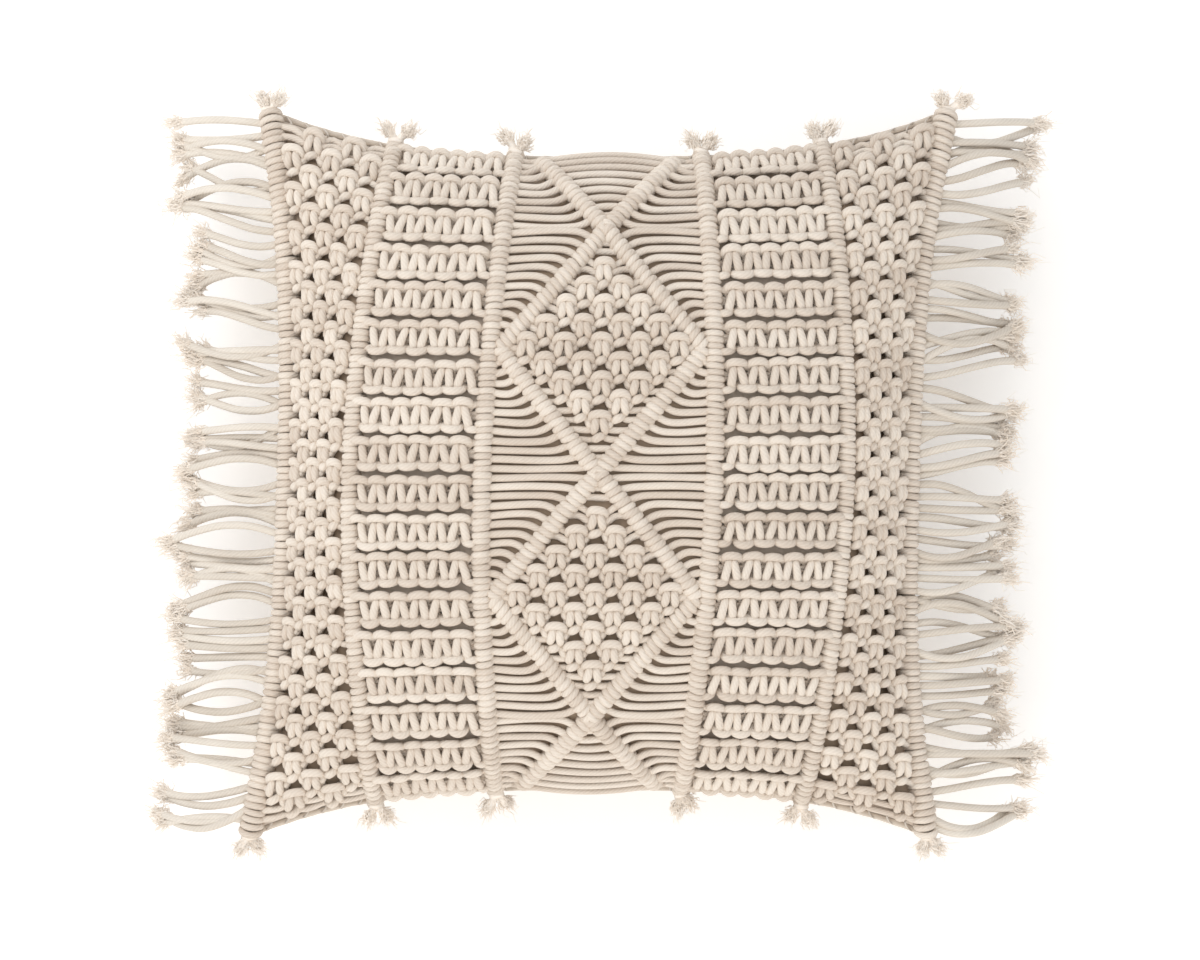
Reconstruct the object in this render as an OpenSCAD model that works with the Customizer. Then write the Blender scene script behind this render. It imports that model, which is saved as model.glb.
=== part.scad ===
// Macrame throw pillow with a zipped cotton cover, lying on its back with the knotted face up.
// X runs along the working cords, Y along the ridges, Z up. The origin is on the floor, under
// the middle of the pillow.

/* [Cushion outline] */
// Half of the width across the middle of the plumped cover
mid_half_width = 187; // [170:1:200]
// Half of the width at the corners
corner_half_width = 205; // [190:1:220]
// Half of the height across the middle of the plumped cover
mid_half_height = 186; // [170:1:200]
// Half of the height at the corners
corner_half_height = 216; // [200:1:230]
// How far the knotted panel leans sideways at its top edge
lean = 6; // [0:1:10]

/* [Cushion depth] */
// Height of the side seam above the floor
seam_z = 56; // [50:1:62]
// Rise of the front above the side seam
front_crown = 66; // [60:1:75]
// Depth of the back below the side seam, before the floor flattens it
back_crown = 70; // [66:1:78]
// Thickness of the cover's canvas
canvas = 1; // [0.8:0.1:1.2]
// How far inside the cover the insert lies
insert_gap = 10; // [9:0.5:12]

/* [Macrame] */
// Number of square-knot rows in each row band
sennit_rows = 18; // [14:1:20]
// Thickness of the knotted layer
knot_layer = 8; // [6:0.5:9]
// Width of a half-hitch ridge
ridge_width = 11; // [9:0.5:12]
// Diameter of the cotton cord
cord_d = 4.2; // [3.5:0.1:5]
// Spacing of the plain cords
cord_pitch = 5.8; // [5:0.1:6.5]
// Length of the fringe past the edge ridge
fringe_length = 56; // [40:1:70]
// Number of tassels along each side
tassels = 18; // [12:1:20]
// Length of the frayed tail at each ridge end
tail_length = 13; // [8:1:18]

/* [Zip] */
// Length of the toothed part of the zip
zip_length = 230; // [200:5:240]
// Width of one zip tape
tape_width = 13; // [11:0.5:14]
// Width of the opening that shows the zip
zip_reveal = 10; // [9.6:0.2:12]
// Length of the zip pull from its pin
pull_length = 24; // [18:1:28]

/* [Hidden] */

// Cushion form
bulge = 2.5;            // exponent that keeps the crown broad
pinch = 3;              // exponent with which the sides draw in between the corners
panel_reach = 0.985;    // share of the half height that the knotting covers
spread = 0.09;          // how much wider the rows lie in the middle than the even share

// Ridge places, as shares of the half width, in the middle and at the ends
edge_ridge = 0.965;
outer_ridge = [0.770, 0.620];
inner_ridge = [0.358, 0.270];
ridge_height = 8;
ridge_steps = 24;
tail_offset = [0, 1.6, -3.4];

// Diamonds, as shares of the half height and half width
diamond_tip = 0.765;
diamond_middle = diamond_tip / 2;
diamond_corner = 0.285;
diagonal_end = [0.205, 0.95];
diamond_rows = 9;
knot_pitch = [0.101, 0.0545];
knot_size = [8.6, 17];

// Clearances
gap = 0.5;
layer_gap = 0.5;
small = 0.01;

// Half of the rim's height at the side seam, on the cover and on the insert
cover_lift = 1.2;
insert_lift = 2.2;
fill_gap = 0.2;

// Zip place: its middle line, and the tilt of its tape about X
zip_y = -179;
zip_z = 33.3;
zip_tilt = 132;
zip_depth = 3.2;
coil_width = 1.5;
coil_height = 1.8;
coil_slot = 1;
tape_thickness = 0.6;
tape_overrun = 8;
tape_flat = 2;
upper_bend = 19;
lower_bend = 6;
plate_thickness = 1.1;
plate_offset = 1.25;
slider_length = 11;
slider_width = 8.8;
flange_width = 0.8;
web_width = 0.4;
pin_r = 0.8;
pin_height = 4.3;
pin_clearance = 0.05;
lug_gap = 3.6;
lug_width = 1.2;
knuckle_r = 1.6;
knuckle_width = 3;
pull_width = 7;
pull_thickness = 1.2;
slider_x = (zip_length - slider_length) / 2 - 0.4;
round_fn = 32;

cream = [0.92, 0.87, 0.80];
cord_white = [0.90, 0.85, 0.78];
canvas_pink = [0.82, 0.75, 0.69];

function mix(a, b, t) = a + (b - a) * t;
function unit(a) = a / norm(a);
function flatten(rows) = [for (row = rows) each row];
function half_width(v) = mix(mid_half_width, corner_half_width, pow(abs(v), pinch));
function half_height(u) = mix(mid_half_height, corner_half_height, pow(abs(u), pinch));
function crown(u, v) =
    sqrt(max(0, (1 - pow(abs(u), bulge)) * (1 - pow(abs(v), bulge))));

// Point of the front at shares u and v of the half width and half height, h above its surface.
// The insert is the same form, drawn in by inset and with its rim lift apart from the side seam.
function front(u, v, h = 0, inset = 0, lift = cover_lift) = [
    u * (half_width(v) + h - inset) + lean * v,
    v * (half_height(u) + h - inset),
    seam_z + lift + h + (front_crown - inset) * crown(u, v)
];

// Point of the back, which the floor flattens
function back(u, v, h = 0, inset = 0, lift = cover_lift) = [
    u * (half_width(v) + h - inset) + lean * v,
    v * (half_height(u) + h - inset),
    max(inset - h, seam_z - lift - h - (back_crown - inset) * crown(u, v))
];

function front_normal(u, v) = let (
    a = max(-0.98, min(0.98, u)),
    b = max(-0.98, min(0.98, v)),
    across = front(a + small, b) - front(a - small, b),
    along = front(a, b + small) - front(a, b - small)
) unit(cross(across, along));

// Point at a height above the front, measured square to it
function above_front(u, v, h) = front(u, v) + h * front_normal(u, v);

function ridge_u(ridge, v) = mix(ridge[0], ridge[1], v * v);

// Share of the half height at share t of the knotted rows, which lie evenly on the crown
function row_v(t) = panel_reach * t * (1 + spread - spread * t * t);

function diagonal_u(v) = let (a = abs(v)) a > diamond_tip
    ? diagonal_end[0] * (a - diamond_tip) / (diagonal_end[1] - diamond_tip)
    : diamond_corner * (1 - abs(a - diamond_middle) / diamond_middle);

// Closed solid between two grids of points, the first above the second
module slab(top, bottom) {
    n = len(top);
    m = len(top[0]);
    function at(i, j, side) = side * n * m + i * m + j;
    polyhedron(
        points = concat(flatten(top), flatten(bottom)),
        faces = concat(
            [for (i = [0:n - 2], j = [0:m - 2], half = [0, 1]) half == 0
                ? [at(i, j, 0), at(i, j + 1, 0), at(i + 1, j + 1, 0)]
                : [at(i, j, 0), at(i + 1, j + 1, 0), at(i + 1, j, 0)]],
            [for (i = [0:n - 2], j = [0:m - 2], half = [0, 1]) half == 0
                ? [at(i, j, 1), at(i + 1, j + 1, 1), at(i, j + 1, 1)]
                : [at(i, j, 1), at(i + 1, j, 1), at(i + 1, j + 1, 1)]],
            [for (i = [0:n - 2], half = [0, 1]) half == 0
                ? [at(i, 0, 0), at(i + 1, 0, 0), at(i + 1, 0, 1)]
                : [at(i, 0, 0), at(i + 1, 0, 1), at(i, 0, 1)]],
            [for (i = [0:n - 2], half = [0, 1]) half == 0
                ? [at(i, m - 1, 0), at(i + 1, m - 1, 1), at(i + 1, m - 1, 0)]
                : [at(i, m - 1, 0), at(i, m - 1, 1), at(i + 1, m - 1, 1)]],
            [for (j = [0:m - 2], half = [0, 1]) half == 0
                ? [at(0, j, 0), at(0, j + 1, 1), at(0, j + 1, 0)]
                : [at(0, j, 0), at(0, j, 1), at(0, j + 1, 1)]],
            [for (j = [0:m - 2], half = [0, 1]) half == 0
                ? [at(n - 1, j, 0), at(n - 1, j + 1, 0), at(n - 1, j + 1, 1)]
                : [at(n - 1, j, 0), at(n - 1, j + 1, 1), at(n - 1, j, 1)]]
        )
    );
}

// Solid of a soft bar: path is a list of [point, up, half width, half height]
module bar(path, sides = 8) {
    n = len(path);
    function ahead(i) = unit(path[min(i + 1, n - 1)][0] - path[max(i - 1, 0)][0]);
    function ring(i) = let (
        side = unit(cross(ahead(i), path[i][1])),
        up = cross(side, ahead(i))
    ) [for (k = [0:sides - 1]) let (a = 360 * (k + 0.5) / sides)
        path[i][0] + cos(a) * path[i][2] * side + sin(a) * path[i][3] * up];
    polyhedron(
        points = flatten([for (i = [0:n - 1]) ring(i)]),
        faces = concat(
            [[for (k = [0:sides - 1]) sides - 1 - k]],
            [[for (k = [0:sides - 1]) (n - 1) * sides + k]],
            [for (i = [0:n - 2], k = [0:sides - 1], half = [0, 1]) let (
                a = i * sides + k,
                b = i * sides + (k + 1) % sides
            ) half == 0 ? [a, b, b + sides] : [a, b + sides, a + sides]]
        )
    );
}

// Shares from -1 to 1 that crowd towards both ends, where the form turns fastest
function shares(n) = [for (i = [0:n]) sin(90 * (2 * i / n - 1))];

function front_grid(n, h, inset = 0, lift = cover_lift) =
    [for (u = shares(n)) [for (v = shares(n)) front(u, v, h, inset, lift)]];
function back_grid(n, h, inset = 0, lift = cover_lift) =
    [for (u = shares(n)) [for (v = shares(n)) back(u, v, h, inset, lift)]];

// ---- Insert ----

module insert_fill() {
    h = -canvas - fill_gap;
    color("white") slab(
        front_grid(14, h, insert_gap, insert_lift),
        back_grid(14, h, insert_gap, insert_lift)
    );
}

module insert_casing_front() {
    function layer(h) = front_grid(14, h, insert_gap, insert_lift);
    color("white") slab(layer(0), layer(-canvas));
}

module insert_casing_back() {
    function layer(h) = back_grid(14, h, insert_gap, insert_lift);
    color("white") slab(layer(-canvas), layer(0));
}

// ---- Canvas cover ----

module cover_lining_front() {
    color(canvas_pink) slab(front_grid(16, 0), front_grid(16, -canvas));
}

opening_half = zip_length / 2 + 3;
opening_ramp = 10;

// How far up the tape's plane, from the zip's middle line, a point lies
function up_tape(p) = (p[1] - zip_y) * cos(zip_tilt) + (p[2] - zip_z) * sin(zip_tilt);

// Share of the half height, between low and high, at which the back lies that far up the tape
function edge_v(u, up, low = -1, high = -0.7, steps = 14) = let (v = (low + high) / 2)
    steps == 0 ? v
        : up_tape(back(u, v)) > up ? edge_v(u, up, v, high, steps - 1)
        : edge_v(u, up, low, v, steps - 1);

// Share from 0 inside the zip's opening to 1 past its ends
function past_opening(x) = max(0, min(1, (abs(x) - opening_half) / opening_ramp));
function main_edge_v(u) = edge_v(u,
    mix(-zip_reveal / 2, zip_reveal / 2 - gap, past_opening(u * mid_half_width)));
function strip_edge_v(u) = edge_v(u, zip_reveal / 2);

module cover_back_main() {
    function grid(h) = [for (u = shares(30)) [for (t = shares(14))
        back(u, mix(main_edge_v(u), 1, (t + 1) / 2), h)]];
    color(canvas_pink) slab(grid(-canvas), grid(0));
}

module cover_back_strip() {
    function grid(h) = [for (u = shares(30)) [for (t = [0:0.25:1])
        back(u, mix(-1, strip_edge_v(u), t * t), h)]];
    color(canvas_pink) slab(grid(-canvas), grid(0));
}

// Turned seam that joins lining, back and knotting all round
module cover_edge_seam() {
    seam_r = 2;
    near = 0.6;
    reach = 2 * seam_r + near;
    per_side = 26;
    side = [for (i = [0:per_side - 1]) mix(-1, 1, i / per_side)];
    outline = concat(
        [for (s = side) [1, s]], [for (s = side) [-s, 1]],
        [for (s = side) [-1, -s]], [for (s = side) [s, -1]]
    );
    n = len(outline);
    sides = 6;
    function rim(i, h) = front(outline[i][0], outline[i][1], h);
    function seam_ring(i) = let (
        inner = rim(i, near),
        outer = rim(i, reach),
        middle = (inner + outer) / 2,
        out = (outer - inner) / 2
    ) [for (k = [0:sides - 1]) let (a = 360 * k / sides) [
        middle[0] + cos(a) * out[0],
        middle[1] + cos(a) * out[1],
        seam_z - cover_lift - gap + sin(a) * seam_r
    ]];
    color(canvas_pink) polyhedron(
        points = flatten([for (i = [0:n - 1]) seam_ring(i)]),
        faces = [for (i = [0:n - 1], k = [0:sides - 1], half = [0, 1]) let (
            a = i * sides + k,
            b = i * sides + (k + 1) % sides,
            c = ((i + 1) % n) * sides + k,
            d = ((i + 1) % n) * sides + (k + 1) % sides
        ) half == 0 ? [a, d, b] : [a, c, d]]
    );
}

// ---- Ridges of double half hitches ----

function ridge_path(ridge, side) = [for (i = [0:ridge_steps]) let (
    v = panel_reach * sin(90 * (2 * i / ridge_steps - 1)),
    u = side * ridge_u(ridge, v)
) [above_front(u, v, layer_gap + ridge_height / 2), front_normal(u, v),
    ridge_width / 2, ridge_height / 2]];

module ridge(ridge, side) {
    color(cord_white) bar(ridge_path(ridge, side));
}

module ridge_edge_left() ridge([edge_ridge, edge_ridge], -1);
module ridge_outer_left() ridge(outer_ridge, -1);
module ridge_inner_left() ridge(inner_ridge, -1);
module ridge_inner_right() ridge(inner_ridge, 1);
module ridge_outer_right() ridge(outer_ridge, 1);
module ridge_edge_right() ridge([edge_ridge, edge_ridge], 1);

function diagonal_path(v_from, v_to, side, steps) = [for (i = [0:steps]) let (
    v = mix(v_from, v_to, i / steps),
    u = side * diagonal_u(v)
) [above_front(u, v, layer_gap + ridge_height / 2), front_normal(u, v),
    0.45 * ridge_width, 0.45 * ridge_height]];

// The diagonals cross at the diamonds' tips, so they are one knotted piece
module ridge_diagonals() {
    turns = [0, diamond_middle, diamond_tip, diagonal_end[1]];
    color(cord_white) for (way = [-1, 1], side = [-1, 1], k = [0:2])
        bar(diagonal_path(way * turns[k], way * turns[k + 1], side, 4));
}

// ---- Knotted bands ----

// Band between the shares of two edges, less a margin for the ridges
module band(inner_u, outer_u, side, rows, columns) {
    function grid(h) = [for (i = [0:columns]) [for (t = shares(rows)) let (
        v = panel_reach * t,
        margin = (ridge_width / 2 + gap) / half_width(v),
        a = inner_u(v) + margin,
        b = outer_u(v) - margin,
        u = side * mix(a, b, side > 0 ? i / columns : 1 - i / columns)
    ) above_front(u, v, h)]];
    slab(grid(layer_gap + knot_layer), grid(layer_gap));
}

module knot_net(side) {
    color(cream) band(
        function (v) ridge_u(outer_ridge, v),
        function (v) edge_ridge - 0.005,
        side, 20, 4
    );
}

module knot_net_left() knot_net(-1);
module knot_net_right() knot_net(1);

// One bar for each row of square knots, with the lining showing between the rows
module knot_rows(side) {
    row_width = 9.6;
    color(cream) for (r = [0:sennit_rows - 1]) let (
        v = row_v((2 * r + 1) / sennit_rows - 1),
        margin = (ridge_width / 2 + 2 * gap) / half_width(v),
        a = ridge_u(inner_ridge, v) + margin,
        b = ridge_u(outer_ridge, v) - margin
    ) bar([for (i = [0:5]) let (u = side * mix(a, b, i / 5))
        [above_front(u, v, layer_gap + knot_layer / 2), front_normal(u, v),
            row_width, knot_layer / 2]]);
}

module knot_rows_left() knot_rows(-1);
module knot_rows_right() knot_rows(1);

// Square knots set 1-2-3-4-5-4-3-2-1 inside a diamond
module diamond_knots(way) {
    middle = floor(diamond_rows / 2);
    color(cream) for (r = [0:diamond_rows - 1]) let (
        n = middle + 1 - abs(r - middle),
        v = way * (diamond_middle + (r - middle) * knot_pitch[1])
    ) for (c = [0:n - 1]) let (
        u = (c - (n - 1) / 2) * knot_pitch[0],
        half_length = knot_size[1] / 2 / mid_half_height
    ) bar([for (i = [-1:1]) [above_front(u, v + i * half_length, layer_gap + knot_layer / 2),
        front_normal(u, v), knot_size[0] / 2, knot_layer / 2]], 6);
}

module diamond_knots_upper() diamond_knots(1);
module diamond_knots_lower() diamond_knots(-1);

// Plain cords of the middle panel, each between shares a and b of the half width
module plain_cord(v, a, b) {
    if (b - a > 0.05) bar([for (i = [0:2]) let (u = mix(a, b, i / 2))
        [above_front(u, v, layer_gap + cord_d / 2), front_normal(u, v), cord_d / 2, cord_d / 2]], 6);
}

cord_rows = 2 * floor(panel_reach * mid_half_height / cord_pitch);

module side_cords(side) {
    color(cord_white) for (r = [1:cord_rows - 1]) let (
        v = row_v(2 * r / cord_rows - 1),
        margin = (ridge_width / 2 + 2 * gap) / half_width(v),
        a = diagonal_u(v) + 1.3 * margin,
        b = ridge_u(inner_ridge, v) - margin
    ) if (side > 0) plain_cord(v, a, b); else plain_cord(v, -b, -a);
}

module plain_cords_left() side_cords(-1);
module plain_cords_right() side_cords(1);

// Cords between the diagonals, past the outer tips of the diamonds
module end_cords(way) {
    color(cord_white) for (r = [1:cord_rows - 1]) let (
        v = row_v(2 * r / cord_rows - 1),
        reach = diagonal_u(v) - 1.6 * ridge_width / 2 / half_width(v)
    ) if (way * v > diamond_tip) plain_cord(v, -reach, reach);
}

module plain_cords_top() end_cords(1);
module plain_cords_bottom() end_cords(-1);

// ---- Fringe and tails ----

// A tassel of cords that leaves the edge ridge, droops and gathers to a frayed end
module tassel(v, k) {
    start = above_front(0.995, v, ridge_width / 2 + 2.5);
    swing = 2.5 * sin(137 * k);
    droop = 24 + 5 * sin(211 * k);
    steps = 4;
    bar([for (i = [0:steps]) let (t = i / steps) [
        start + [fringe_length * t, swing * t, 6 * t - droop * t * t],
        [0, 0, 1], mix(8.6, 4, t), mix(2.4, 3.4, t)
    ]], 6);
}

module fringe_right() {
    color(cream) for (k = [0:tassels - 1]) tassel(0.95 * ((2 * k + 1) / tassels - 1), k);
}

module fringe_left() rotate(180) fringe_right();

// Frayed end of each ridge's holding cord
module ridge_tails_top() {
    places = [for (side = [-1, 1], ridge = [[edge_ridge, edge_ridge], outer_ridge, inner_ridge])
        side * ridge_u(ridge, panel_reach)];
    color(cream) for (u = places) let (
        start = above_front(u, panel_reach, layer_gap + ridge_height / 2) + tail_offset
    ) bar([for (t = [0, 0.5, 1])
        [start + [0, tail_length * t, 2 * t], [0, 0, 1], mix(2.4, 4.6, t), mix(2.4, 4.2, t)]], 6);
}

module ridge_tails_bottom() rotate(180) ridge_tails_top();

// ---- Zip on the back, just behind the lower seam ----

// Local X along the zip, Y up the tape towards the seam, Z out of the cover
module at_zip() {
    translate([0, zip_y, zip_z]) rotate([zip_tilt, 0, 0]) translate([0, 0, -zip_depth])
        children();
}

module block(x, y, z) {
    translate([x[0], y[0], z[0]]) cube([x[1] - x[0], y[1] - y[0], z[1] - z[0]]);
}

tape_x = zip_length / 2 + tape_overrun;
tape_y = (coil_slot / 2) + coil_width;
coil_x = zip_length / 2;

// Tape that lies flat under the opening's edge and then bends in by an angle
module zip_tape(bend) {
    half = tape_thickness / 2;
    flat_y = tape_y + tape_flat;
    end = [flat_y, 0] + (tape_width - tape_flat) * [cos(bend), -sin(bend)];
    translate([-tape_x, 0, 0]) rotate([90, 0, 90]) linear_extrude(2 * tape_x) polygon([
        [tape_y, -half], [flat_y, -half], end - [0, half],
        end + [0, half], [flat_y, half], [tape_y, half]
    ]);
}

module zip_tape_upper() {
    color(cream) at_zip() zip_tape(upper_bend);
}

module zip_tape_lower() {
    color(cream) at_zip() mirror([0, 1, 0]) zip_tape(lower_bend);
}

module zip_coil() {
    translate([-coil_x, 0, 0]) rotate([90, 0, 90]) linear_extrude(zip_length)
        intersection() {
            translate([coil_slot / 2, -coil_height / 2]) square([coil_width, coil_height]);
            translate([coil_slot / 2 + coil_width, 0]) circle(coil_width, $fn = round_fn);
        }
}

module zip_coil_upper() {
    color(cream) at_zip() zip_coil();
}

module zip_coil_lower() {
    color(cream) at_zip() mirror([0, 1, 0]) zip_coil();
}

module zip_top_stops() {
    color("silver") at_zip() for (side = [0, 1]) mirror([0, side, 0])
        block([coil_x + 0.2, coil_x + 3], [coil_slot / 2, tape_y - 0.1], [-1.3, 1.3]);
}

module zip_bottom_stop() {
    color("silver") at_zip() block([-coil_x - 3.4, -coil_x - 0.2], [-1.9, 1.9], [-1.3, 1.3]);
}

// Two plates, joined by a thin web that runs in the slot between the coils
module zip_slider() {
    outer = plate_offset + plate_thickness;
    lug_y = lug_gap / 2 + lug_width;
    color("silver") at_zip() translate([slider_x, 0, 0]) {
        for (side = [0, 1]) mirror([0, 0, side]) {
            block(slider_length / 2 * [-1, 1], slider_width / 2 * [-1, 1], [plate_offset, outer]);
            for (way = [0, 1]) mirror([0, way, 0])
                block(slider_length / 2 * [-1, 1],
                    [slider_width / 2 - flange_width, slider_width / 2],
                    [plate_offset - 0.6, plate_offset + small]);
        }
        block([-2.5, 2.5], web_width / 2 * [-1, 1], (plate_offset + small) * [-1, 1]);
        for (way = [0, 1]) mirror([0, way, 0])
            block([-1.6, 1.6], [lug_gap / 2, lug_y], [outer - small, pin_height + 1.3]);
        translate([0, lug_y - small, pin_height]) rotate([90, 0, 0])
            cylinder(r = pin_r, h = 2 * lug_y - 2 * small, $fn = round_fn);
    }
}

// Pull that hangs from the slider's pin, with a bored knuckle and a slotted tab
module zip_pull() {
    tab_start = knuckle_r + 2.6;
    color("silver") at_zip() translate([slider_x, 0, pin_height]) difference() {
        union() {
            translate([0, knuckle_width / 2, 0]) rotate([90, 0, 0])
                cylinder(r = knuckle_r, h = knuckle_width, $fn = round_fn);
            block(pull_thickness / 2 * [-1, 1], knuckle_width / 2 * [-1, 1], [0.4, tab_start + small]);
            translate([-pull_thickness / 2, 0, 0]) rotate([0, 90, 0])
                linear_extrude(pull_thickness) union() {
                    translate([-pull_length + pull_width / 2, 0]) circle(pull_width / 2, $fn = round_fn);
                    translate([-pull_length + pull_width / 2, -pull_width / 2])
                        square([pull_length - pull_width / 2 - tab_start, pull_width]);
                }
        }
        translate([0, knuckle_width, 0]) rotate([90, 0, 0])
            cylinder(r = pin_r + pin_clearance, h = 2 * knuckle_width, $fn = round_fn);
        block([-pull_thickness, pull_thickness], [-1.6, 1.6], [tab_start + 3, pull_length - 4]);
    }
}

insert_fill();
insert_casing_front();
insert_casing_back();
cover_lining_front();
cover_back_main();
cover_back_strip();
cover_edge_seam();
ridge_edge_left();
ridge_outer_left();
ridge_inner_left();
ridge_inner_right();
ridge_outer_right();
ridge_edge_right();
ridge_diagonals();
knot_net_left();
knot_net_right();
knot_rows_left();
knot_rows_right();
diamond_knots_upper();
diamond_knots_lower();
plain_cords_left();
plain_cords_right();
plain_cords_top();
plain_cords_bottom();
ridge_tails_top();
ridge_tails_bottom();
fringe_left();
fringe_right();
zip_tape_upper();
zip_tape_lower();
zip_coil_upper();
zip_coil_lower();
zip_top_stops();
zip_bottom_stop();
zip_slider();
zip_pull();
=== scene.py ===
"""Looks of the macrame throw pillow: knotted cords, fringe, canvas cover and zip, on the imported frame."""

import math

import bpy
import numpy as np
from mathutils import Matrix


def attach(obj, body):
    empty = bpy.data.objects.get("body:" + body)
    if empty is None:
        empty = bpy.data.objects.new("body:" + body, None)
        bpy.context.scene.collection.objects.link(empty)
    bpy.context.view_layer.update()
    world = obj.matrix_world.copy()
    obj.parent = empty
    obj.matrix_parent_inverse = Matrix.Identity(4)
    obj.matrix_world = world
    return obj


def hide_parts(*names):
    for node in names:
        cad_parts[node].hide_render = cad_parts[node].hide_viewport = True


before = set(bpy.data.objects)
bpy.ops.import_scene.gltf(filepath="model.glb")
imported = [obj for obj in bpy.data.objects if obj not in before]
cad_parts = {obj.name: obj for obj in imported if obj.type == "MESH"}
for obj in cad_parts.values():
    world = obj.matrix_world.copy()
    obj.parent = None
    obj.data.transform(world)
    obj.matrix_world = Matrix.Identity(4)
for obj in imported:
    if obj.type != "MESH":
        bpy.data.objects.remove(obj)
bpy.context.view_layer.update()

rng = np.random.default_rng(7)

MM = 0.001

# ---- Cushion form, in millimetres, as the CAD model has it ----
MID_HALF_WIDTH, CORNER_HALF_WIDTH = 187, 205
MID_HALF_HEIGHT, CORNER_HALF_HEIGHT = 186, 216
LEAN = 6
SEAM_Z = 56
COVER_LIFT = 1.2
INSERT_GAP, INSERT_LIFT = 10, 2.2
FRONT_CROWN, BACK_CROWN = 66, 70
BULGE, PINCH = 2.5, 3
PANEL_REACH = 0.985
EDGE_RIDGE = (0.975, 0.988)
OUTER_RIDGE = (0.770, 0.620)
INNER_RIDGE = (0.358, 0.270)

# ---- Zip, in millimetres: its middle line, the way up its tape and the way out of the cover ----
ZIP_Y, ZIP_Z, ZIP_DEPTH = -179, 33.3, 3.2
ZIP_TILT = math.radians(132)
TAPE_UP = (math.cos(ZIP_TILT), math.sin(ZIP_TILT))
TAPE_OUT = (-math.sin(ZIP_TILT), math.cos(ZIP_TILT))
ZIP_LENGTH = 230
ZIP_REVEAL = 10
OPENING_HALF, OPENING_RAMP = ZIP_LENGTH / 2 + 3, 10
TAPE_REACH = 18

# ---- Knotting, in millimetres and in cords ----
ROWS = 18
CORDS = 4 * ROWS
PITCH = 5.8
CORD_R = 2.1
WRAP_R = 2.1
EDGE_MARGIN, NET_MARGIN, ROWS_MARGIN = 8.2, 5.4, 4.8     # from a ridge's middle to the knots beside it
RIDGE_HALF = {"edge": 5.5, "outer": 3.8, "inner": 3.9}
NET_COLUMNS = 5
SIDES = 8


# ---- Surface ----


def half_width(v):
    return MID_HALF_WIDTH + (CORNER_HALF_WIDTH - MID_HALF_WIDTH) * np.abs(v) ** PINCH


def half_height(u):
    return MID_HALF_HEIGHT + (CORNER_HALF_HEIGHT - MID_HALF_HEIGHT) * np.abs(u) ** PINCH


def crown(u, v):
    return np.sqrt(np.maximum(0, (1 - np.abs(u) ** BULGE) * (1 - np.abs(v) ** BULGE)))


def form(u, v, z, inset):
    u, v = np.broadcast_arrays(u, v)
    return np.stack([u * (half_width(v) - inset) + LEAN * v, v * (half_height(u) - inset), z], -1)


def front(u, v, inset=0.0, lift=COVER_LIFT):
    """Point of the front at shares u and v of the half width and half height. The insert has an inset."""
    return form(u, v, SEAM_Z + lift + (FRONT_CROWN - inset) * crown(u, v), inset)


def back(u, v, inset=0.0, lift=COVER_LIFT):
    """Point of the back, which the floor flattens."""
    return form(u, v, np.maximum(inset, SEAM_Z - lift - (BACK_CROWN - inset) * crown(u, v)), inset)


def unit(a):
    return a / np.maximum(np.linalg.norm(a, axis=-1, keepdims=True), 1e-12)


def bunched(count):
    """Shares from -1 to 1 that lie closer together near both ends, where the front falls steeply."""
    return np.sin(np.linspace(-1, 1, count) * math.pi / 2)


def eased(share):
    return share * share * (3 - 2 * share)


def path_length(path):
    """Length along a path at each of its points."""
    steps = np.linalg.norm(np.diff(path, axis=-2), axis=-1)
    return np.concatenate([np.zeros_like(steps[..., :1]), np.cumsum(steps, axis=-1)], -1)


def along_path(values, lengths, at):
    """Values, given at lengths along a path, at other lengths along it."""
    return np.stack([np.interp(at, lengths, values[:, k]) for k in range(3)], -1)


def between(table, row, column):
    """Entries of a table at rows and columns that may lie between its own."""
    i = np.clip(np.floor(row).astype(int), 0, table.shape[0] - 2)
    j = np.clip(np.floor(column).astype(int), 0, table.shape[1] - 2)
    a, b = (row - i)[..., None], (column - j)[..., None]
    low = table[i, j] * (1 - a) + table[i + 1, j] * a
    high = table[i, j + 1] * (1 - a) + table[i + 1, j + 1] * a
    return low * (1 - b) + high * b


def front_normal(u, v):
    u, v = np.clip(u, -PANEL_REACH, PANEL_REACH), np.clip(v, -PANEL_REACH, PANEL_REACH)
    step = 0.004
    return unit(np.cross(front(u + step, v) - front(u - step, v), front(u, v + step) - front(u, v - step)))


def ridge_u(ridge, v):
    return ridge[0] + (ridge[1] - ridge[0]) * v * v


# Tables over shares U_GRID across the front and shares T_GRID of the row of cords
U_GRID = 0.999 * bunched(241)
T_GRID = np.linspace(-1, 1, 241)


def even_rows():
    """The share v at which each cord lies, so that cords are evenly spaced along the cloth."""
    fine = PANEL_REACH * bunched(501)
    table = []
    for u in U_GRID:
        length = path_length(front(u, fine))
        table.append(np.interp((T_GRID + 1) / 2 * length[-1], length, fine))
    return np.array(table)


V_TABLE = even_rows()
ARC_TABLE = path_length(front(U_GRID[:, None], V_TABLE).swapaxes(0, 1)).T


def ridge_arcs(ridge, side):
    """How far across each row, in millimetres of cloth, the ridge lies."""
    arcs = []
    for k in range(len(T_GRID)):
        u = side * ridge[0]
        for _ in range(12):
            u = side * ridge_u(ridge, np.interp(u, U_GRID, V_TABLE[:, k]))
        arcs.append(np.interp(u, U_GRID, ARC_TABLE[:, k]))
    return np.array(arcs)


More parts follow.
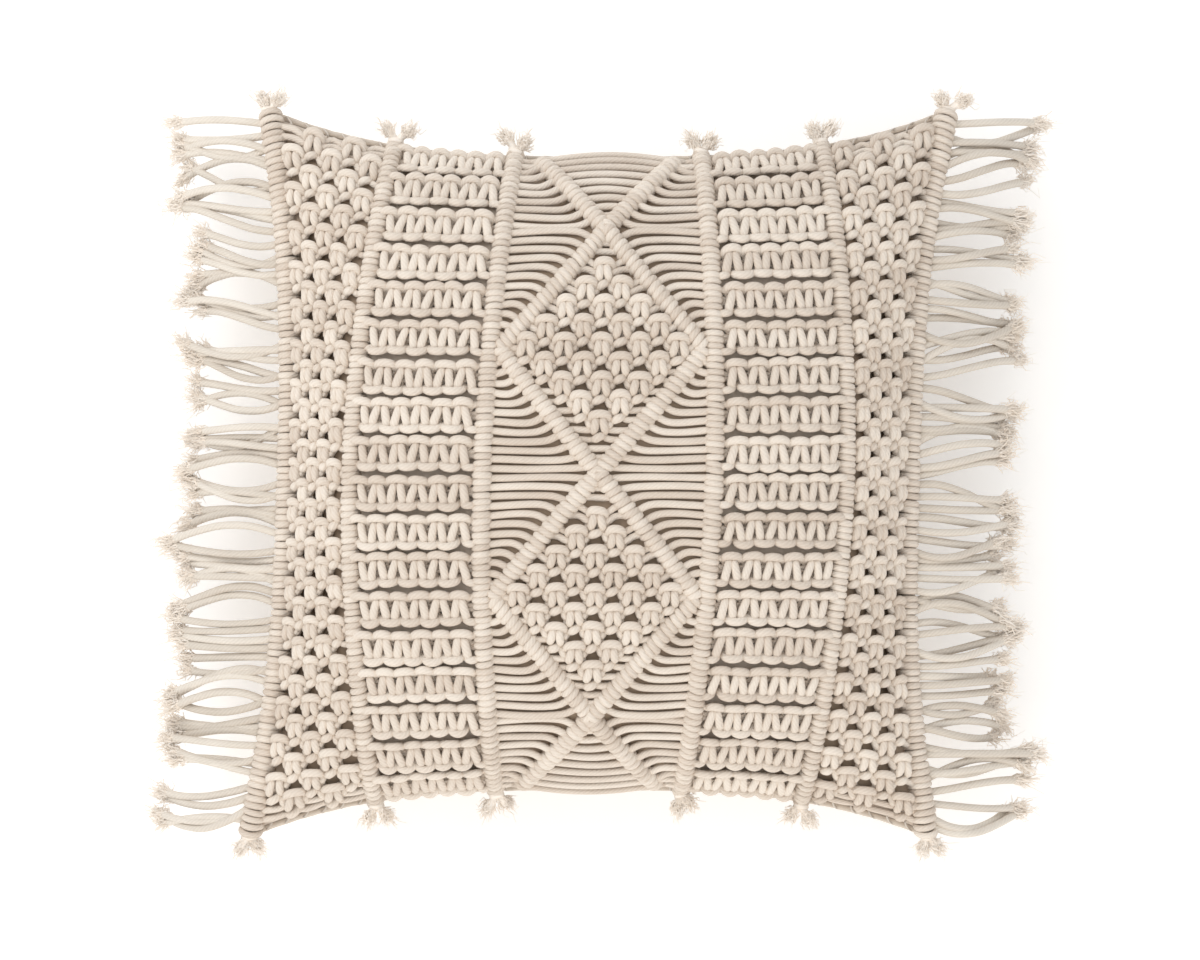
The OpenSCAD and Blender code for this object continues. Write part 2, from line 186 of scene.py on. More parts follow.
class Band:
    """The strip of the front between two ridges, in shares w across it and y in cords from the middle."""

    def __init__(self, left, right, steps=96):
        w = np.linspace(0, 1, steps + 1)
        self.table = np.empty((steps + 1, len(T_GRID), 2))
        for k in range(len(T_GRID)):
            u = np.interp(left[k] + (right[k] - left[k]) * w, ARC_TABLE[:, k], U_GRID)
            self.table[:, k] = np.stack([u, np.interp(u, U_GRID, V_TABLE[:, k])], -1)

    def shares(self, w, y):
        across = np.clip(w, -0.2, 1.2) * (len(self.table) - 1)
        along = (np.clip(y / (CORDS / 2), -1, 1) + 1) / 2 * (len(T_GRID) - 1)
        return np.moveaxis(between(self.table, across, along), -1, 0)

    def place(self, w, y, h):
        """Points in millimetres, h above the canvas."""
        w, y, h = np.broadcast_arrays(w, y, h)
        u, v = self.shares(w, y)
        return front(u, v) + front_normal(u, v) * h[..., None]

    def normal(self, w, y):
        return front_normal(*self.shares(*np.broadcast_arrays(w, y)))


RIDGES = {"edge": EDGE_RIDGE, "outer": OUTER_RIDGE, "inner": INNER_RIDGE}
ARCS = {
    f"{name}_{hand}": ridge_arcs(ridge, side)
    for hand, side in (("left", -1), ("right", 1)) for name, ridge in RIDGES.items()
}
NET_LEFT = Band(ARCS["edge_left"] + EDGE_MARGIN, ARCS["outer_left"] - NET_MARGIN)
ROWS_LEFT = Band(ARCS["outer_left"] + ROWS_MARGIN, ARCS["inner_left"] - ROWS_MARGIN)
MIDDLE = Band(ARCS["inner_left"], ARCS["inner_right"])
ROWS_RIGHT = Band(ARCS["inner_right"] + ROWS_MARGIN, ARCS["outer_right"] - ROWS_MARGIN)
NET_RIGHT = Band(ARCS["outer_right"] + NET_MARGIN, ARCS["edge_right"] - EDGE_MARGIN)

CORD_Y = np.arange(CORDS) - (CORDS - 1) / 2


# ---- Cord meshes ----


def curve_through(keys, per=3):
    """Catmull-Rom points through keys, whose shape is (cords, keys, values)."""
    keys = np.asarray(keys, float)
    padded = np.concatenate([2 * keys[:, :1] - keys[:, 1:2], keys, 2 * keys[:, -1:] - keys[:, -2:-1]], 1)
    p0, p1, p2, p3 = (padded[:, k : padded.shape[1] - 3 + k, None] for k in range(4))
    t = (np.arange(per) / per)[:, None]
    out = 0.5 * (
        2 * p1 + (p2 - p0) * t + (2 * p0 - 5 * p1 + 4 * p2 - p3) * t**2 + (3 * p1 - p0 - 3 * p2 + p3) * t**3
    )
    return np.concatenate([out.reshape(len(keys), -1, keys.shape[2]), keys[:, -1:]], 1)


class Strands:
    """Collects tubes, in millimetres, and makes them one mesh object."""

    def __init__(self):
        self.parts, self.count = [], 0

    def add(self, paths, radius, sides=SIDES, shade=None):
        """paths is (tubes, rings, 3). radius is a number, or broadcasts to (tubes, rings)."""
        paths = np.asarray(paths, float)
        m, n, _ = paths.shape
        radius = np.broadcast_to(radius, (m, n))
        tangent = unit(np.concatenate([paths[:, 1:2] - paths[:, :1], paths[:, 2:] - paths[:, :-2],
                                       paths[:, -1:] - paths[:, -2:-1]], 1))
        side = np.empty_like(paths)
        square = np.where(np.abs(tangent[:, 0, 2:3]) < 0.9, [[0.0, 0.0, 1.0]], [[1.0, 0.0, 0.0]])
        for k in range(n):
            square = unit(square - (square * tangent[:, k]).sum(1, keepdims=True) * tangent[:, k])
            side[:, k] = square
        other = np.cross(tangent, side)
        turn = (np.arange(sides) * 2 * math.pi / sides)[:, None]
        ring = np.cos(turn) * side[:, :, None] + np.sin(turn) * other[:, :, None]
        body = paths[:, :, None] + ring * radius[:, :, None, None]
        outward = np.stack([-tangent[:, 0], tangent[:, -1]], 1)
        tips = paths[:, [0, -1]] + 0.5 * radius[:, [0, -1], None] * outward
        points = np.concatenate([body.reshape(m, -1, 3), tips], 1)

        base = self.count + np.arange(m)[:, None, None] * (n * sides + 2)
        i, k = (x.ravel() for x in np.meshgrid(np.arange(n - 1), np.arange(sides), indexing="ij"))
        here, ahead, k2 = i * sides, (i + 1) * sides, (k + 1) % sides
        quads = base + np.stack([here + k, here + k2, ahead + k2, ahead + k], 1)
        k, k2, last = k[:sides], k2[:sides], (n - 1) * sides
        fans = base + np.concatenate([np.stack([k2, k, np.full(sides, n * sides)], 1),
                                      np.stack([last + k, last + k2, np.full(sides, n * sides + 1)], 1)])

        along = path_length(paths) + rng.uniform(0, 50, (m, 1))
        quad_uv = np.empty((m, n - 1, sides, 4, 2))
        quad_uv[..., 0] = (np.arange(sides)[:, None] + [0, 1, 1, 0]) / sides
        quad_uv[..., :2, 1] = along[:, :-1, None, None]
        quad_uv[..., 2:, 1] = along[:, 1:, None, None]
        fan_uv = np.full((m, 2, sides, 3, 2), 0.5)
        fan_uv[..., 1] = along[:, [0, -1], None, None]
        if shade is None:
            shade = rng.uniform(0, 1, m)
        shades = np.repeat(np.broadcast_to(shade, (m,)), points.shape[1])
        # painted shade: 1 on the side of each tube that faces down, 0 on its top; the material darkens the
        # cord there
        painted_underside_shade = np.concatenate([0.5 - 0.5 * ring[..., 2].reshape(m, -1), np.full((m, 2), 0.5)], 1)
        smooth = sides > 4     # thin fibres are flat shaded, which keeps them bright
        self.parts.append((
            points.reshape(-1, 3), quads.reshape(-1, 4), fans.reshape(-1, 3), quad_uv.reshape(-1, 2),
            fan_uv.reshape(-1, 2), np.full(quads[..., 0].size, smooth), np.full(fans[..., 0].size, smooth),
            shades, painted_underside_shade.ravel(),
        ))
        self.count += points.shape[0] * points.shape[1]

    def build(self, name, material):
        points, quads, fans, quad_uv, fan_uv, quad_smooth, fan_smooth, shades, painted_underside_shade = (
            np.concatenate(part) for part in zip(*self.parts)
        )
        ob = mesh_object(name, points, quads, material, fans, np.r_[quad_smooth, fan_smooth])
        layer = ob.data.uv_layers.new(name="cord")
        layer.data.foreach_set("uv", np.concatenate([quad_uv, fan_uv]).astype(np.float32).ravel())
        mark(ob, "shade", shades)
        mark(ob, "painted_underside_shade", painted_underside_shade)
        return ob


def mark(ob, attribute, values):
    """Gives each point of an object a value that its material reads."""
    layer = ob.data.attributes.new(attribute, "FLOAT", "POINT")
    layer.data.foreach_set("value", np.asarray(values, np.float32))


def mesh_object(name, points, quads, material, fans=np.empty((0, 3), int), smooth=True):
    """Object made of points in millimetres, faces with four corners and then faces with three."""
    me = bpy.data.meshes.new(name)
    loops = np.concatenate([quads.ravel(), fans.ravel()]).astype(np.int32)
    totals = np.r_[np.full(len(quads), 4), np.full(len(fans), 3)].astype(np.int32)
    me.vertices.add(len(points))
    me.vertices.foreach_set("co", (np.asarray(points) * MM).astype(np.float32).ravel())
    me.loops.add(len(loops))
    me.loops.foreach_set("vertex_index", loops)
    me.polygons.add(len(totals))
    me.polygons.foreach_set("loop_start", np.r_[0, np.cumsum(totals)[:-1]].astype(np.int32))
    me.polygons.foreach_set("loop_total", totals)
    me.polygons.foreach_set("use_smooth", np.broadcast_to(smooth, len(totals)).astype(bool))
    me.update(calc_edges=True)
    me.validate()
    ob = bpy.data.objects.new(name, me)
    bpy.context.scene.collection.objects.link(ob)
    me.materials.append(material)
    return ob


# ---- Materials ----


class Nodes:
    """A material's node tree, with short calls to add and link nodes."""

    def __init__(self, name):
        self.material = bpy.data.materials.new(name)
        self.material.use_nodes = True
        self.tree = self.material.node_tree
        self.shader = self.tree.nodes["Principled BSDF"]
        self.place = self.add("ShaderNodeTexCoord").outputs["Object"]

    def add(self, kind, **values):
        node = self.tree.nodes.new(kind)
        for key, value in values.items():
            if key in node.inputs:
                self.feed(node.inputs[key], value)
            else:
                setattr(node, key, value)
        return node

    def feed(self, socket, value):
        """Links a socket to another, or sets its value."""
        if hasattr(value, "is_linked"):
            self.tree.links.new(value, socket)
        else:
            socket.default_value = value

    def set(self, **values):
        """Feeds the shader's inputs, whose names have underscores for spaces here."""
        for key, value in values.items():
            self.feed(self.shader.inputs[key.replace("_", " ")], value)

    def math(self, operation, *values):
        node = self.add("ShaderNodeMath", operation=operation)
        for socket, value in zip(node.inputs, values):
            self.feed(socket, value)
        return node.outputs[0]

    def scaled(self, value, factor, offset):
        return self.math("MULTIPLY_ADD", value, factor, offset)

    def weighted(self, *terms):
        """The sum of values times their weights."""
        total = None
        for value, weight in terms:
            part = self.math("MULTIPLY", value, weight)
            total = part if total is None else self.math("ADD", total, part)
        return total

    def wave(self, value, per_unit):
        """A sine with so many waves in each unit of the value."""
        return self.math("SINE", self.math("MULTIPLY", value, per_unit * 2 * math.pi))

    def across_and_along(self, uv_map):
        uv = self.add("ShaderNodeUVMap", uv_map=uv_map).outputs["UV"]
        return self.add("ShaderNodeSeparateXYZ", Vector=uv).outputs[:2]

    def attribute(self, name):
        return self.add("ShaderNodeAttribute", attribute_name=name).outputs["Fac"]

    def noise(self, scale, detail=3.0, coords=None):
        node = self.add("ShaderNodeTexNoise", Scale=scale, Detail=detail, Vector=coords or self.place)
        return node.outputs["Fac"]

    def ramp(self, value, *stops):
        node = self.add("ShaderNodeValToRGB")
        self.feed(node.inputs[0], value)
        for element, (place, colour) in zip(node.color_ramp.elements, stops):
            element.position, element.color = place, (*colour, 1)
        return node.outputs[0]

    def bump(self, height, distance, strength=1.0, below=None):
        node = self.add("ShaderNodeBump", Strength=strength, Distance=distance, Height=height)
        if below is not None:
            self.feed(node.inputs["Normal"], below)
        return node.outputs[0]

    def tinted(self, colour, attribute, places, tint):
        """The colour times a tint that sets in as the attribute goes from the first place to the last."""
        share = self.ramp(self.attribute(attribute), (places[0], (1, 1, 1)), (places[1], tint))
        mix = self.add("ShaderNodeMix", data_type="RGBA", blend_type="MULTIPLY")
        for key, value in (("Factor", 1.0), ("A", colour), ("B", share)):
            self.feed(mix.inputs[key], value)
        return mix.outputs["Result"]


YARNS = 6.0
PAINTED_SHADE_TINT = (0.64, 0.58, 0.52)     # painted shade on the cords' undersides, in the warm colour of light bounced between cords that lie close


def cotton(name, dark, light, twist=0.35, fuzz=0.25, paint_underside_shade=True, relief=1.0):
    """Soft twisted cotton: fine slanting yarns round the cord, uneven colour, loose surface fibres, and,
    where asked, painted shade that darkens the cord's underside.
    """
    n = Nodes(name)
    around, along = n.across_and_along("cord")
    turns = n.math("ADD", n.math("MULTIPLY", around, YARNS), n.math("MULTIPLY", along, twist))
    yarn = n.scaled(n.wave(turns, 1.0), 0.5, 0.5)
    fibres, patches = n.noise(2600.0, 4.0), n.noise(38.0, 2.0)
    mixed = n.weighted((n.attribute("shade"), 0.35), (patches, 0.45), (fibres, 0.2), (yarn, 0.16))
    colour = n.ramp(mixed, (0.2, dark), (0.8, light))
    # painted shade: the colour darkens where the cord's surface faces down towards the canvas
    if paint_underside_shade:
        colour = n.tinted(colour, "painted_underside_shade", (0.35, 0.95), PAINTED_SHADE_TINT)
    soft = n.bump(yarn, 0.00022 * relief, 0.8)
    n.set(Base_Color=colour, Normal=n.bump(fibres, 0.0003 * relief, 0.8, below=soft),
          Roughness=n.scaled(fibres, 0.15, 0.80), Specular_IOR_Level=0.2,
          Sheen_Weight=fuzz, Sheen_Roughness=0.5, Sheen_Tint=(1.0, 0.97, 0.92, 1))
    return n.material


def woven(name, dark, light, threads, uv_map="weave", painted_lining_shade=None):
    """Plain weave from two crossed sets of threads, with slubs and uneven colour, and, where asked, painted
    shade where knotting lies over it.
    """
    n = Nodes(name)
    warp, weft = (n.wave(way, count) for way, count in zip(n.across_and_along(uv_map), threads))
    weave = n.scaled(n.math("MULTIPLY", warp, weft), 0.5, 0.5)
    slubs = n.noise(420.0, 4.0)
    mixed = n.weighted((weave, 0.35), (slubs, 0.4), (n.noise(22.0, 2.0), 0.3))
    colour = n.ramp(mixed, (0.2, dark), (0.8, light))
    # painted shade: the colour darkens where the knotting lies over the cloth
    if painted_lining_shade:
        colour = n.tinted(colour, "painted_lining_shade", (0.0, 1.0), painted_lining_shade)
    n.set(Base_Color=colour, Normal=n.bump(slubs, 0.0003, 0.4, below=n.bump(weave, 0.00015, 0.6)),
          Roughness=n.scaled(slubs, 0.12, 0.82), Sheen_Weight=0.15, Specular_IOR_Level=0.2)
    return n.material


def ribbed_tape(name, dark, light):
    """Zip tape: fine ribs across it, and lengthwise lines where its warp is heavier."""
    n = Nodes(name)
    along = n.add("ShaderNodeSeparateXYZ", Vector=n.place).outputs["X"]
    across = n.add("ShaderNodeVectorMath", operation="DOT_PRODUCT")
    n.feed(across.inputs[0], n.place)
    n.feed(across.inputs[1], (0, *TAPE_UP))
    ribs, lines = n.wave(along, 1 / 0.0011), n.wave(across.outputs["Value"], 1 / 0.0017)
    grain = n.scaled(n.math("ADD", ribs, n.math("MULTIPLY", lines, 0.6)), 0.25, 0.5)
    slubs = n.noise(900.0)
    n.set(Base_Color=n.ramp(n.weighted((grain, 0.5), (slubs, 0.5)), (0.2, dark), (0.8, light)),
          Normal=n.bump(grain, 0.0002, 0.7), Roughness=n.scaled(slubs, 0.2, 0.7),
          Sheen_Weight=0.1, Specular_IOR_Level=0.3)
    return n.material


def nylon(name, dark, light):
    """Moulded coil wire: satin, with slight clouding."""
    n = Nodes(name)
    cloud = n.noise(700.0)
    n.set(Base_Color=n.ramp(cloud, (0.3, dark), (0.7, light)), Normal=n.bump(cloud, 0.00004, 0.4),
          Roughness=n.scaled(cloud, 0.25, 0.3), Subsurface_Weight=0.1, Subsurface_Scale=0.0006)
    return n.material


def brushed_metal(name, dark, light):
    """Die-cast nickel: fine scratches one way, soft dents, duller where it is handled."""
    n = Nodes(name)
    stretch = n.add("ShaderNodeMapping", Vector=n.place, Scale=(300, 5000, 5000))
    scratches, wear = n.noise(1.0, coords=stretch.outputs["Vector"]), n.noise(260.0, 2.0)
    n.set(Base_Color=n.ramp(wear, (0.3, dark), (0.7, light)), Normal=n.bump(scratches, 0.00002, 0.4),
          Roughness=n.scaled(n.math("ADD", scratches, wear), 0.18, 0.18), Metallic=1.0)
    return n.material


def wadding(name, dark, light):
    """Matted polyester fibre."""
    n = Nodes(name)
    tufts, fibres = n.noise(90.0, 4.0), n.noise(1500.0, 4.0)
    mixed = n.math("MULTIPLY", n.math("ADD", tufts, fibres), 0.5)
    n.set(Base_Color=n.ramp(mixed, (0.3, dark), (0.7, light)), Roughness=0.95,
          Normal=n.bump(fibres, 0.0008, 0.8, below=n.bump(tufts, 0.004, 0.8)),
          Sheen_Weight=0.3, Specular_IOR_Level=0.1)
    return n.material


CORD = cotton("cord_cotton", (0.64, 0.54, 0.45), (0.86, 0.78, 0.69))
FRINGE = cotton("fringe_cotton", (0.60, 0.53, 0.45), (0.82, 0.76, 0.68))
FIBRE = cotton("frayed_cotton", (0.90, 0.81, 0.71), (0.98, 0.93, 0.87), twist=0.1, fuzz=0.1, paint_underside_shade=False,
               relief=0.1)
CANVAS = woven("cover_canvas", (0.58, 0.50, 0.42), (0.76, 0.68, 0.59), (0.9, 0.9))
# the lining's tint is painted shade, for the light that the knotting keeps off it
LINING = woven("lining_canvas", (0.60, 0.52, 0.44), (0.78, 0.69, 0.60), (0.9, 0.9),
               painted_lining_shade=(0.72, 0.64, 0.56))
WELT = woven("seam_canvas", (0.58, 0.50, 0.42), (0.76, 0.68, 0.59), (11.0, 0.9), "cord")
TICKING = woven("insert_ticking", (0.62, 0.56, 0.48), (0.80, 0.74, 0.66), (1.3, 1.3))
THREAD = cotton("sewing_thread", (0.66, 0.58, 0.50), (0.84, 0.77, 0.69), twist=1.2, fuzz=0.1)
FILL = wadding("polyester_fill", (0.80, 0.80, 0.79), (0.93, 0.93, 0.93))
TAPE = ribbed_tape("zip_tape", (0.55, 0.47, 0.39), (0.76, 0.68, 0.59))
COIL = nylon("zip_coil_nylon", (0.62, 0.55, 0.46), (0.80, 0.73, 0.63))
METAL = brushed_metal("zip_nickel", (0.34, 0.33, 0.31), (0.52, 0.51, 0.49))

# ---- Knots, in flat millimetres (x across, y up, h above the canvas) ----

BEHIND, FILLER, LEG, BUMP = 2.1, 3.4, 5.7, 7.0     # heights of a cord's middle line
THIN, FULL = 0.98, 1.2                             # girths, as shares of CORD_R


def hand_tied(x, y, seed):
    """Small smooth wander that keeps repeats from looking alike."""
    return (
        0.45 * np.sin(0.21 * x + 0.83 * y + seed) + 0.30 * np.sin(0.37 * x - 0.51 * y + 2.1 * seed),
        0.05 * np.sin(0.17 * x + 0.67 * y + 1.7 * seed) + 0.04 * np.sin(0.29 * x - 0.43 * y + 0.4 * seed),
    )


def lay(strands, band, keys, flat_width, seed, girth=1.0):
    """Adds the cord through flat keys (x, y, h, girth) on a band that is so wide when flat."""
    keys = curve_through([keys])[0]
    x, y = keys[:, 0], keys[:, 1] / PITCH
    dx, dy = hand_tied(x, y, seed)
    strands.add(band.place((x + dx) / flat_width, y + dy, keys[:, 2])[None], CORD_R * girth * keys[:, 3])


SENNIT_HALF_KNOTS = 11
SENNIT_WIDTH = 68.0
HALF_KNOT = SENNIT_WIDTH / (SENNIT_HALF_KNOTS + 0.6)
LEG_TOP, LEG_FOOT = 1.9, 2.3
ROW_Y = 8.1


def both_halves(half, middle=()):
    return half + list(middle) + [(-x, y, h, girth) for x, y, h, girth in half[::-1]]


ROW_BUMP = both_halves(
    [(-4.3, 4.0, BEHIND - 0.6, 0.75), (-5.1, 5.8, FILLER - 0.4, 0.95), (-3.9, 7.8, BUMP - 1.2, 1.16)],
    [(0, 8.5, BUMP + 0.2, 1.2)],
)


def sennit_keys(mirror):
    """The legs' cord, the bumps' cord and two fillers of one row of square knots."""
    x0 = 0.3 * HALF_KNOT
    legs = [(-3, ROW_Y - 1, BEHIND, 1)]
    bumps = [(-3, -ROW_Y, BEHIND + 0.4, 1), (x0, -ROW_Y, BUMP - 0.6, 1.1),
             (x0 + 3.4, -6.6, LEG - 2.4, THIN)]
    for k in range(SENNIT_HALF_KNOTS):
        way = 1 if k % 2 == 0 else -1
        left, right = x0 + k * HALF_KNOT, x0 + (k + 1) * HALF_KNOT
        at_top = right - LEG_TOP if way > 0 else left + LEG_TOP
        at_foot = left + LEG_FOOT if way > 0 else right - LEG_FOOT
        run = [(at_top, 5.6, LEG - 1.4, THIN), (at_top - 0.2 * way, 3.0, LEG + 0.1, 1.15),
               (at_foot + 0.2 * way, -2.6, LEG + 0.3, 1.26), (at_foot, -5.6, LEG - 1.0, FULL)]
        legs += run[::way]
        if k < SENNIT_HALF_KNOTS - 1:
            legs.append((right, -way * 5.2, BEHIND - 0.6, 0.75))
        bumps.append((right - 0.5 * HALF_KNOT, 0, BEHIND - 0.8, 0.7))
        bumps += [(right + dx, way * dy, h, girth) for dx, dy, h, girth in ROW_BUMP]
    legs.append((SENNIT_WIDTH + 3, -way * (ROW_Y - 1), BEHIND, 1))
    bumps.append((SENNIT_WIDTH + 3, way * ROW_Y, BEHIND, 1))
    fillers = [
        [(-3, s * 2.9, BEHIND + 0.6, 1)]
        + [(x, s * 1.2, BEHIND - 0.8, 0.75) for x in (3, SENNIT_WIDTH / 2, SENNIT_WIDTH - 3)]
        + [(SENNIT_WIDTH + 3, s * 2.9, BEHIND + 0.6, 1)]
        for s in (1, -1)
    ]
    paths = [legs, bumps] + fillers
    if mirror:
        paths = [[(SENNIT_WIDTH - x, y, h, girth) for x, y, h, girth in path[::-1]] for path in paths]
    return paths


def knot_rows(band, mirror):
    strands = Strands()
    paths = sennit_keys(mirror)
    for r in range(ROWS):
        row_y = (4 * r + 1.5 - (CORDS - 1) / 2) * PITCH
        sway = 0.6 * math.sin(1.9 * r + (3 if mirror else 0))
        for keys in paths:
            bent = [(x, row_y + y + sway * math.sin(math.pi * x / SENNIT_WIDTH), h, girth)
                    for x, y, h, girth in keys]
            lay(strands, band, bent, SENNIT_WIDTH, 1.7 * r, 1 + 0.03 * math.sin(5.1 * r))
    return strands


# One square knot, x from its middle: the left half of the legs' cord and of the bump, then how the bump's
# cord comes up from the foot of the knot and goes down again
LEGS_HALF = [
    (-6.0, 5.0, BEHIND, 0.95), (-3.2, 5.2, FILLER - 0.4, 0.95), (-2.0, 3.6, LEG - 0.6, 1.06),
    (-2.3, 1.2, LEG + 0.2, 1.16), (-2.8, -1.2, LEG + 0.2, 1.20), (-3.3, -3.3, LEG - 1.2, 1.16),
    (-3.0, -4.9, BEHIND - 0.3, 0.85), (-1.6, -3.2, BEHIND - 1.0, 0.7),
]
BUMP_HALF = [
    (-1.6, -0.5, BEHIND - 0.6, 0.75), (-4.4, 1.8, BEHIND, 0.85), (-5.2, 4.0, FILLER + 0.2, 1.0),
    (-4.2, 6.1, BUMP - 1.2, 1.12), (-1.7, 6.9, BUMP, 1.20),
]
KNOT_FOOT = [
    (-4.6, -8.9, BEHIND - 0.7, 0.85), (-2.9, -8.7, LEG - 2.0, 1.12), (-0.9, -7.7, LEG - 0.6, 1.26),
    (1.2, -6.5, LEG - 1.8, 1.14), (1.7, -4.4, BEHIND - 0.4, 0.8),
]
KNOT_REST = [(1.2, -5.0, BEHIND - 0.6, 0.75), (3.8, -8.2, FILLER - 0.6, 0.95)]
KNOT = [
    both_halves(LEGS_HALF),
    both_halves([(-5.8, -0.3, FILLER + 0.3, 1.04), (-2.6, 1.2, BEHIND - 0.1, 0.8)]),
    both_halves([(-5.4, -2.8, BEHIND, 0.95), (-2.6, -1.6, BEHIND - 0.1, 0.8)]),
    KNOT_FOOT + both_halves(BUMP_HALF) + KNOT_REST,
]


def knot_part(role, x, group_y, narrow=1.0):
    """Keys of one cord through one knot: role 0 makes the legs, 3 the bump, 1 and 2 are carried inside."""
    return [(x + narrow * dx, group_y * PITCH + dy, h, girth) for dx, dy, h, girth in KNOT[role]]


NET_COLUMN = 11.6
NET_WIDTH = NET_COLUMNS * NET_COLUMN


def knot_net(band, mirror):
    """Square knots on every four cords, shifted by two cords in every other column."""
    strands = Strands()
    for i, y in enumerate(CORD_Y):
        keys = [(-3, y * PITCH, BEHIND, 1)]
        for c in range(NET_COLUMNS):
            x = (c + 0.5) * NET_COLUMN
            shift = 2 * ((c + mirror) % 2)
            first = (i + shift) // 4 * 4 - shift
            if first < 0 or first + 3 >= CORDS:
                keys.append((x, y * PITCH, BEHIND + 0.5, 1))
            else:
                keys += knot_part(3 - (i - first), x, (CORD_Y[first] + CORD_Y[first + 3]) / 2)
        keys.append((NET_WIDTH + 3, y * PITCH, BEHIND, 1))
        lay(strands, band, keys, NET_WIDTH, 0.6 if mirror else 2.9)
    return strands


# ---- Middle panel: two diamonds of square knots, plain cords round them ----

TIP = 26
MIDDLE_Y = TIP / 2
CORNER_W = 0.455
TAIL_Y = 34.3
TAIL_W = 0.36
DIAMOND_COLUMN = 11.3
MIDDLE_WIDTH = 134.0


def diagonal_w(y):
    """How far from the middle the diagonal ridge lies at y cords, as a share of the panel."""
    a = np.abs(y)
    inside = CORNER_W * (1 - np.abs(a - MIDDLE_Y) / MIDDLE_Y)
    return np.where(a > TIP, TAIL_W * (a - TIP) / (TAIL_Y - TIP), inside)


LOOSE_H, LOOSE_R = CORD_R + 0.5, CORD_R * 1.04
DRAWN = 0.75          # how far, in cords, a diagonal draws a plain cord's end aside
BEND_REACH = 7.5


def plain_cords(side):
    """Cords between a ridge and the diamonds. The diagonals draw their ends away from the corner."""
    strands = Strands()
    s = np.linspace(0, 1, 16) ** 1.4
    for y in CORD_Y:
        drawn = math.copysign(1, y) * (-1 if MIDDLE_Y < abs(y) <= TIP else 1)
        room = (0.5 - float(diagonal_w(y))) * MIDDLE_WIDTH
        pull = DRAWN * min(1, room / 22, abs(y) / 3)
        end_y = y + drawn * pull
        if abs(end_y) > TAIL_Y + 0.5:
            end_y = y
        reach = float(diagonal_w(end_y))
        if 0.5 - reach < 0.07:
            continue
        bend = np.exp(-((s * room / BEND_REACH) ** 2))
        yy = y + (end_y - y) * bend - 0.35 * drawn * pull * np.sin(math.pi * s**0.8)
        yy = yy + 0.04 * np.sin(2 * math.pi * s + 1.7 * y)
        h = LOOSE_H + math.sin(1.3 * y) ** 2 * np.sin(math.pi * s)
        strands.add(MIDDLE.place(0.5 + side * (reach + (0.5 - reach) * s), yy, h)[None], LOOSE_R)
    return strands


def end_cords(way):
    """Cords between the diagonals, past the diamonds' outer tips."""
    strands = Strands()
    s = np.linspace(0, 1, 16)
    for y in CORD_Y[way * CORD_Y >= TIP + 0.5]:
        reach = min(float(diagonal_w(y)), 0.5)
        path = MIDDLE.place(0.5 + reach * (2 * s - 1), y + 0.05 * np.sin(2 * math.pi * s + y), LOOSE_H)
        bow = 5.0 * (abs(y) - TIP) / (CORDS / 2 - TIP)
        path[:, 1] += way * bow * np.sin(math.pi * s)
        strands.add(path[None], LOOSE_R)
    return strands


def diamond_knots(way):
    """Square knots set 1-2-3-4-5-4-3-2-1 inside a diamond."""
    strands = Strands()
    for y in CORD_Y[(way * CORD_Y > 0) & (way * CORD_Y < TIP)]:
        half = float(diagonal_w(y)) * MIDDLE_WIDTH
        keys = [(-half, y * PITCH, BEHIND + 0.5, 1)]
        for c in range(-4, 5):
            x = c * DIAMOND_COLUMN
            if abs(x) > half - 2:
                continue
            groups = way * MIDDLE_Y + 4 * (np.arange(5 - abs(c)) - (4 - abs(c)) / 2)
            nearest = groups[np.argmin(np.abs(groups - y))]
            if abs(nearest - y) > 1.6:
                keys.append((x, y * PITCH, BEHIND + 0.3, 1))
            else:
                keys += knot_part(int(round(nearest + 1.5 - y)), x, nearest, 0.96)
        keys.append((half, y * PITCH, BEHIND + 0.5, 1))
        keys = [(x + MIDDLE_WIDTH / 2, *rest) for x, *rest in keys]
        lay(strands, MIDDLE, keys, MIDDLE_WIDTH, 4.4)
    return strands


# ---- Ridges ----

FOOT_HEIGHT = 2.2


def wraps(strands, centre, up, pitch, half, height, radius, slant):
    """Half hitches over a holding cord: arches square to the path centre, whose feet sit on the canvas."""
    length = path_length(centre)
    n = max(2, int(round(length[-1] / pitch)))
    at = (np.arange(n) + 0.5) * length[-1] / n + rng.normal(0, 0.15, n)
    normal = unit(along_path(up, length, at))
    ahead = unit(along_path(centre, length, at + 1) - along_path(centre, length, at - 1))
    side = unit(np.cross(ahead, normal))
    angle = np.linspace(-0.22, 1.22, 11) * math.pi
    wide = half * (1 + rng.normal(0, 0.03, (n, 1))) * np.cos(angle)
    tall = height * (1 + rng.normal(0, 0.03, (n, 1))) * np.sin(angle) + FOOT_HEIGHT
    lean = (slant + rng.normal(0, 0.22, (n, 1))) * np.cos(angle)
    paths = along_path(centre, length, at)[:, None]
    for way, amount in ((side, wide), (normal, tall), (ahead, lean)):
        paths = paths + way[:, None] * amount[..., None]
    strands.add(paths, radius * (1 + rng.normal(0, 0.045, (n, 1))))


RIDGE_OVERRUN = 4.0


def run_on(centre, up):
    """A path drawn on past both its ends, and its normals."""
    ends = []
    for a, b in ((0, 6), (-1, -7)):
        ahead = unit((centre[a] - centre[b]) * [1, 1, 0.3])
        ends.append(centre[a] + RIDGE_OVERRUN * ahead * np.array([[1.0], [0.5]]))
    return np.concatenate([ends[0], centre, ends[1][::-1]]), up[np.r_[0, 0, 0:len(up), -1, -1]]


def ridge(arcs, slant, half):
    """A ridge of double half hitches along Y, with three wraps for each two working cords."""
    strands = Strands()
    band = Band(arcs - 10, arcs + 10)
    y = np.linspace(-CORDS / 2, CORDS / 2, 241)
    centre, up = run_on(band.place(0.5, y, 0.0), band.normal(0.5, y))
    up = unit(up * [0.45, 1, 1])
    wraps(strands, centre, up, path_length(centre)[-1] / (1.5 * CORDS), half, half + 1.0, WRAP_R, slant)
    strands.add((centre + 3.6 * up)[::4][None], 2.6)
    return strands, centre, up


